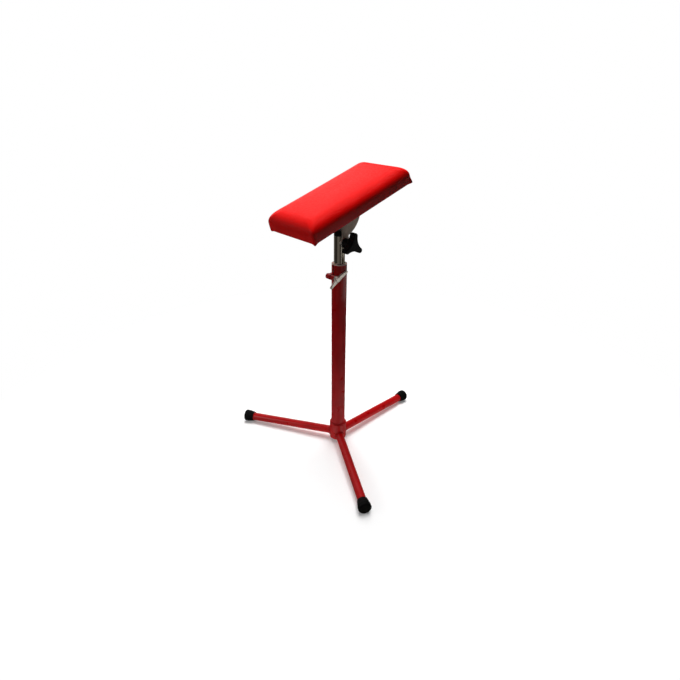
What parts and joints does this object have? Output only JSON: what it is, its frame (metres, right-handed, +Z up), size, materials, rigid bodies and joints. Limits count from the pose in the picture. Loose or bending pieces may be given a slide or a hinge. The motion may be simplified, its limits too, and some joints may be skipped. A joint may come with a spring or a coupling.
{
  "type": "tattoo arm rest stand",
  "caption": "Free-standing arm rest: a padded board on a tilting bracket and a sliding, swivelling post, held by a pinch clamp on a column with splayed tubular legs.",
  "frame": {"origin": "the middle of the feet's footprint, on the floor; the column's axis is 74 mm from it towards -X", "axes": "+Z up; +X the heading of the right leg and of the pad's raised end; the star knob is on the -Y side"},
  "size_m": [0.507, 0.5838, 0.834],
  "materials": {
    "red_enamel": "gloss",
    "chromed_steel": "polished",
    "bare_steel_sheet": "satin",
    "zinc_plated_steel": "satin",
    "cast_zinc": "satin",
    "black_rubber": "matte",
    "black_plastic": "satin",
    "nylon": "satin",
    "brass": "satin",
    "red_vinyl": "satin",
    "foam": "matte",
    "plywood": "matte",
    "dust_cloth": "matte"
  },
  "bodies": {
    "stand": {"leg_tube_right": "red_enamel", "leg_tube_left": "red_enamel", "leg_tube_front": "red_enamel", "foot_cap_right": "black_rubber", "foot_cap_left": "black_rubber", "foot_cap_front": "black_rubber", "hub_sleeve": "red_enamel", "weld_beads": "red_enamel", "column_tube": "red_enamel", "column_bottom_plug": "black_plastic", "column_bushing": "nylon", "clamp_barrel_plain": "red_enamel", "clamp_barrel_threaded": "red_enamel"},
    "guide": {"guide_ring": "nylon"},
    "post": {"post_tube": "chromed_steel", "post_top_plug": "black_plastic", "post_bottom_plug": "black_plastic", "guide_stop_collar": "zinc_plated_steel", "pivot_sleeve": "zinc_plated_steel", "pivot_stud": "zinc_plated_steel", "pivot_saddle": "cast_zinc"},
    "pad": {"tilt_bracket": "bare_steel_sheet", "bracket_base_plate": "bare_steel_sheet", "bracket_screws": "zinc_plated_steel", "bracket_tee_nuts": "zinc_plated_steel", "pad_board": "plywood", "pad_foam": "foam", "pad_cover": "red_vinyl", "pad_dust_cover": "dust_cloth", "pad_staples": "zinc_plated_steel"},
    "knob_washer": {"knob_washer": "zinc_plated_steel"},
    "knob": {"tilt_knob": "black_plastic", "tilt_knob_insert": "brass"},
    "clamp_washer": {"clamp_washer": "zinc_plated_steel"},
    "handle": {"clamp_handle": "cast_zinc", "clamp_screw": "zinc_plated_steel"}
  },
  "joints": [
    {"name": "height_slide", "type": "slide", "parent": "stand", "child": "guide", "axis": [0, 0, 1], "range_m": [-0.035, 0.28]},
    {"name": "post_swivel", "type": "hinge", "parent": "guide", "child": "post", "pos_m": [-0.07399, 0, 0.26], "axis": [0, 0, 1], "continuous": true},
    {"name": "pad_tilt", "type": "hinge", "parent": "post", "child": "pad", "pos_m": [-0.07399, 0, 0.653], "axis": [0, -1, 0], "range_deg": [-77, 62]},
    {"name": "tilt_knob_travel", "type": "slide", "parent": "post", "child": "knob_washer", "axis": [0, -1, 0], "range_m": [0, 0.0013]},
    {"name": "tilt_knob_turn", "type": "hinge", "parent": "knob_washer", "child": "knob", "pos_m": [-0.07399, -0.04, 0.653], "axis": [0, -1, 0], "range_deg": [0, 360]},
    {"name": "clamp_travel", "type": "slide", "parent": "stand", "child": "clamp_washer", "axis": [0, -1, 0], "range_m": [0, 0.0013]},
    {"name": "clamp_handle_turn", "type": "hinge", "parent": "clamp_washer", "child": "handle", "pos_m": [-0.10199, -0.024, 0.56], "axis": [0, -1, 0], "range_deg": [0, 360]}
  ],
  "couplings": [
    {"joint": "tilt_knob_travel", "follows": "tilt_knob_turn", "m_per_rad": 0.00019894},
    {"joint": "clamp_travel", "follows": "clamp_handle_turn", "m_per_rad": 0.00019894}
  ]
}
